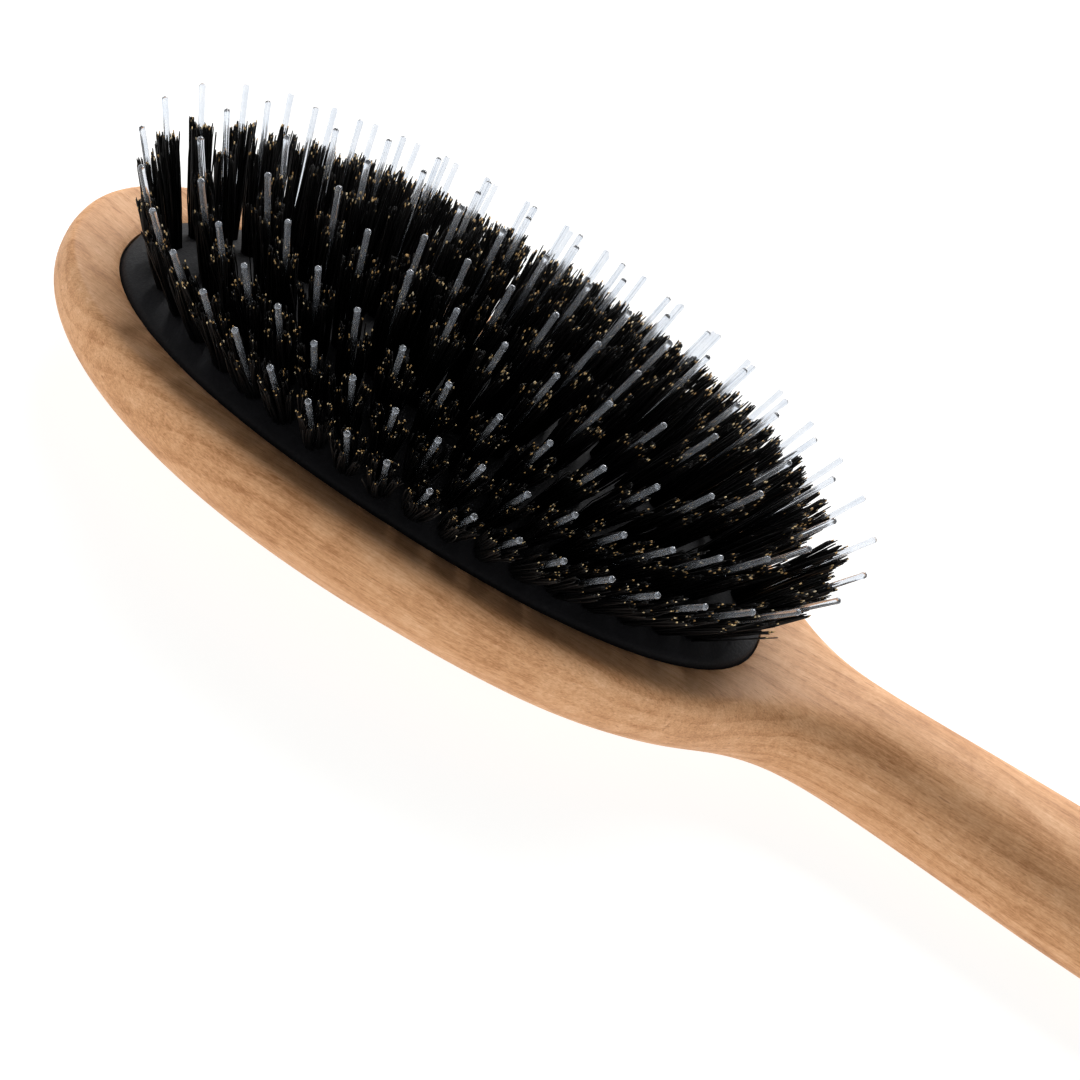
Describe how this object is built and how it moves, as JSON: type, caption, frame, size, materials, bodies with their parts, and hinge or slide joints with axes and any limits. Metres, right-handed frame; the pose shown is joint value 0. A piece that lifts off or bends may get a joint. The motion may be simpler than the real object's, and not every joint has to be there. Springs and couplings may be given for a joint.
{
  "type": "cushion hairbrush",
  "caption": "Oval cushion hairbrush: one-piece wooden handle and head, domed rubber pad in a routed recess, leaning bristle tufts with longer nylon pins.",
  "frame": {"origin": "middle of the bounding box in X and Y, on the flat land of the back that the brush lies on", "axes": "+X along the handle away from the head, +Y across the brush, +Z out of the bristle face"},
  "size_m": [0.222, 0.0764, 0.0436],
  "materials": {
    "wood": "pale beech with a thin satin lacquer",
    "rubber": "matt charcoal rubber with a fine pebbled skin",
    "bristle": "black boar bristle with amber split tips",
    "nylon": "clear nylon monofilament, slightly grey"
  },
  "bodies": {
    "brush_body": {"wood_body": "wood", "rubber_cushion": "rubber"},
    "tuft_ring_1": {"bristle_tufts_ring1_1": "bristle", "bristle_tufts_ring1_2": "bristle", "bristle_tufts_ring1_3": "bristle", "bristle_tufts_ring1_4": "bristle", "bristle_tufts_ring1_5": "bristle", "bristle_tufts_ring1_6": "bristle", "bristle_tufts_ring1_7": "bristle", "nylon_pins_ring1_1": "nylon", "nylon_pins_ring1_2": "nylon", "nylon_pins_ring1_3": "nylon", "nylon_pins_ring1_4": "nylon", "nylon_pins_ring1_5": "nylon", "nylon_pins_ring1_6": "nylon", "nylon_pins_ring1_7": "nylon"},
    "tuft_ring_2": {"bristle_tufts_ring2_1": "bristle", "bristle_tufts_ring2_2": "bristle", "bristle_tufts_ring2_3": "bristle", "bristle_tufts_ring2_4": "bristle", "bristle_tufts_ring2_5": "bristle", "bristle_tufts_ring2_6": "bristle", "bristle_tufts_ring2_7": "bristle", "nylon_pins_ring2_1": "nylon", "nylon_pins_ring2_2": "nylon", "nylon_pins_ring2_3": "nylon", "nylon_pins_ring2_4": "nylon", "nylon_pins_ring2_5": "nylon", "nylon_pins_ring2_6": "nylon", "nylon_pins_ring2_7": "nylon"},
    "tuft_ring_3": {"bristle_tufts_ring3_1": "bristle", "bristle_tufts_ring3_2": "bristle", "bristle_tufts_ring3_3": "bristle", "bristle_tufts_ring3_4": "bristle", "bristle_tufts_ring3_5": "bristle", "nylon_pins_ring3_1": "nylon", "nylon_pins_ring3_2": "nylon", "nylon_pins_ring3_3": "nylon", "nylon_pins_ring3_4": "nylon", "nylon_pins_ring3_5": "nylon"},
    "tuft_ring_4": {"bristle_tufts_ring4_1": "bristle", "bristle_tufts_ring4_2": "bristle", "bristle_tufts_ring4_3": "bristle", "nylon_pins_ring4_1": "nylon", "nylon_pins_ring4_2": "nylon", "nylon_pins_ring4_3": "nylon"},
    "tuft_ring_5": {"bristle_tufts_ring5_1": "bristle", "bristle_tufts_ring5_2": "bristle", "nylon_pins_ring5_1": "nylon", "nylon_pins_ring5_2": "nylon"}
  },
  "joints": [
    {"name": "cushion_press", "type": "slide", "parent": "brush_body", "child": "tuft_ring_5", "axis": [0, 0, -1], "range_m": [0, 0.004], "stiffness_N_per_m": 1500, "springref_m": -0.001, "deforming": ["rubber_cushion"]},
    {"name": "ring_4_press", "type": "slide", "parent": "brush_body", "child": "tuft_ring_4", "axis": [0, 0, -1], "range_m": [0, 0.00386]},
    {"name": "ring_3_press", "type": "slide", "parent": "brush_body", "child": "tuft_ring_3", "axis": [0, 0, -1], "range_m": [0, 0.0029]},
    {"name": "ring_2_press", "type": "slide", "parent": "brush_body", "child": "tuft_ring_2", "axis": [0, 0, -1], "range_m": [0, 0.00142]},
    {"name": "ring_1_press", "type": "slide", "parent": "brush_body", "child": "tuft_ring_1", "axis": [0, 0, -1], "range_m": [0, 0.00034]}
  ],
  "couplings": [
    {"joint": "ring_4_press", "follows": "cushion_press", "ratio": 0.94},
    {"joint": "ring_3_press", "follows": "cushion_press", "ratio": 0.7},
    {"joint": "ring_2_press", "follows": "cushion_press", "ratio": 0.33},
    {"joint": "ring_1_press", "follows": "cushion_press", "ratio": 0.06}
  ]
}
